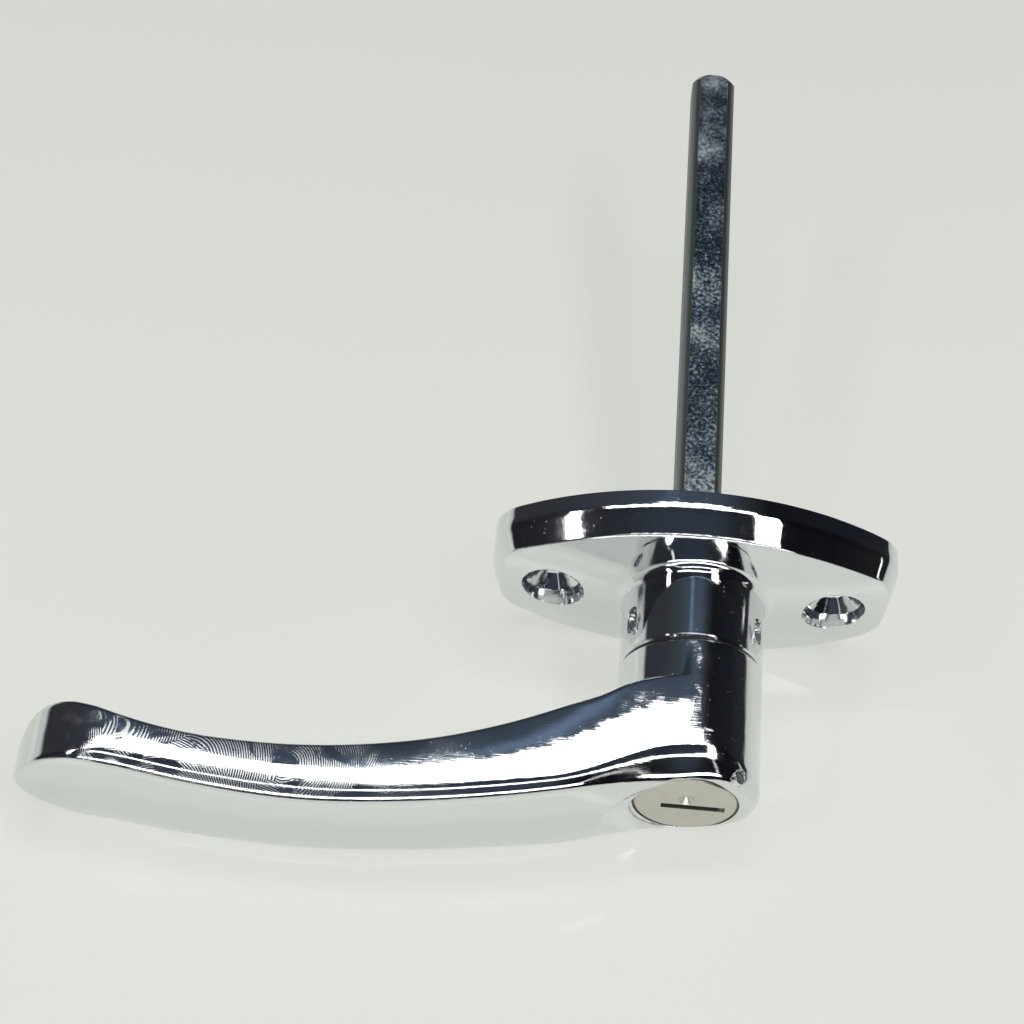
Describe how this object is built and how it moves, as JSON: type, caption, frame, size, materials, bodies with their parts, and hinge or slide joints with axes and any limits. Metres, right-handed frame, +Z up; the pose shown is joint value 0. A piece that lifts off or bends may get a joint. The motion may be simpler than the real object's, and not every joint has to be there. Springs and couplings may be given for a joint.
{
  "type": "locking compartment door handle",
  "caption": "Keyed lever handle on a lens-shaped mounting plate, turning a square spindle a quarter turn; a key cylinder in the hub locks it.",
  "frame": {"origin": "on the spindle axis, in the plane of the mounting plate's back, midway between the two screw holes", "axes": "+Y along the spindle into the door, +Z up, +X to the right seen from outside; the lever points to -X"},
  "size_m": [0.1427, 0.166, 0.0396],
  "materials": {
    "polished_chrome": "mirror-polished chrome plate on a zinc casting, lightly marked",
    "zinc_plate": "zinc-plated drawn steel bar with a dull blue-grey bloom",
    "satin_nickel": "satin nickel, fine grain",
    "plain_steel": "plain ground steel",
    "brass": "stamped brass",
    "nylon": "natural nylon",
    "seal_rubber": "black nitrile"
  },
  "bodies": {
    "mounting": {"base_plate": "polished_chrome", "retaining_pin_right": "plain_steel", "retaining_pin_left": "plain_steel", "thrust_washer": "nylon"},
    "handle": {"lever_handle": "polished_chrome", "square_spindle": "zinc_plate", "spindle_cross_pin": "plain_steel", "shank_seal": "seal_rubber", "plug_retaining_pin": "plain_steel"},
    "plug": {"lock_plug": "satin_nickel", "wafer_spring_1": "plain_steel", "wafer_spring_2": "plain_steel", "wafer_spring_3": "plain_steel", "wafer_spring_4": "plain_steel", "wafer_spring_5": "plain_steel"},
    "bolt": {"lock_bolt": "plain_steel"},
    "wafer_1_body": {"wafer_1": "brass"},
    "wafer_2_body": {"wafer_2": "brass"},
    "wafer_3_body": {"wafer_3": "brass"},
    "wafer_4_body": {"wafer_4": "brass"},
    "wafer_5_body": {"wafer_5": "brass"}
  },
  "joints": [
    {"name": "handle_turn", "type": "hinge", "parent": "mounting", "child": "handle", "pos_m": [0, -0.0175, 0], "axis": [0, 1, 0], "range_deg": [0, 90]},
    {"name": "key_turn", "type": "hinge", "parent": "handle", "child": "plug", "pos_m": [0, -0.036, 0], "axis": [0, 1, 0], "range_deg": [0, 90]},
    {"name": "bolt_slide", "type": "slide", "parent": "handle", "child": "bolt", "axis": [0, 0, -1], "range_m": [0, 0.00212]},
    {"name": "wafer_1_slide", "type": "slide", "parent": "plug", "child": "wafer_1_body", "axis": [1, 0, 0], "range_m": [0, 0.0008], "stiffness_N_per_m": 20, "springref_m": 0.004},
    {"name": "wafer_2_slide", "type": "slide", "parent": "plug", "child": "wafer_2_body", "axis": [1, 0, 0], "range_m": [0, 0.0008], "stiffness_N_per_m": 20, "springref_m": 0.004},
    {"name": "wafer_3_slide", "type": "slide", "parent": "plug", "child": "wafer_3_body", "axis": [1, 0, 0], "range_m": [0, 0.0008], "stiffness_N_per_m": 20, "springref_m": 0.004},
    {"name": "wafer_4_slide", "type": "slide", "parent": "plug", "child": "wafer_4_body", "axis": [1, 0, 0], "range_m": [0, 0.0008], "stiffness_N_per_m": 20, "springref_m": 0.004},
    {"name": "wafer_5_slide", "type": "slide", "parent": "plug", "child": "wafer_5_body", "axis": [1, 0, 0], "range_m": [0, 0.0008], "stiffness_N_per_m": 20, "springref_m": 0.004}
  ],
  "couplings": [
    {"joint": "key_turn", "follows": "bolt_slide", "rad_per_m": 740},
    {"joint": "wafer_2_slide", "follows": "wafer_1_slide", "ratio": 1},
    {"joint": "wafer_3_slide", "follows": "wafer_1_slide", "ratio": 1},
    {"joint": "wafer_4_slide", "follows": "wafer_1_slide", "ratio": 1},
    {"joint": "wafer_5_slide", "follows": "wafer_1_slide", "ratio": 1}
  ]
}
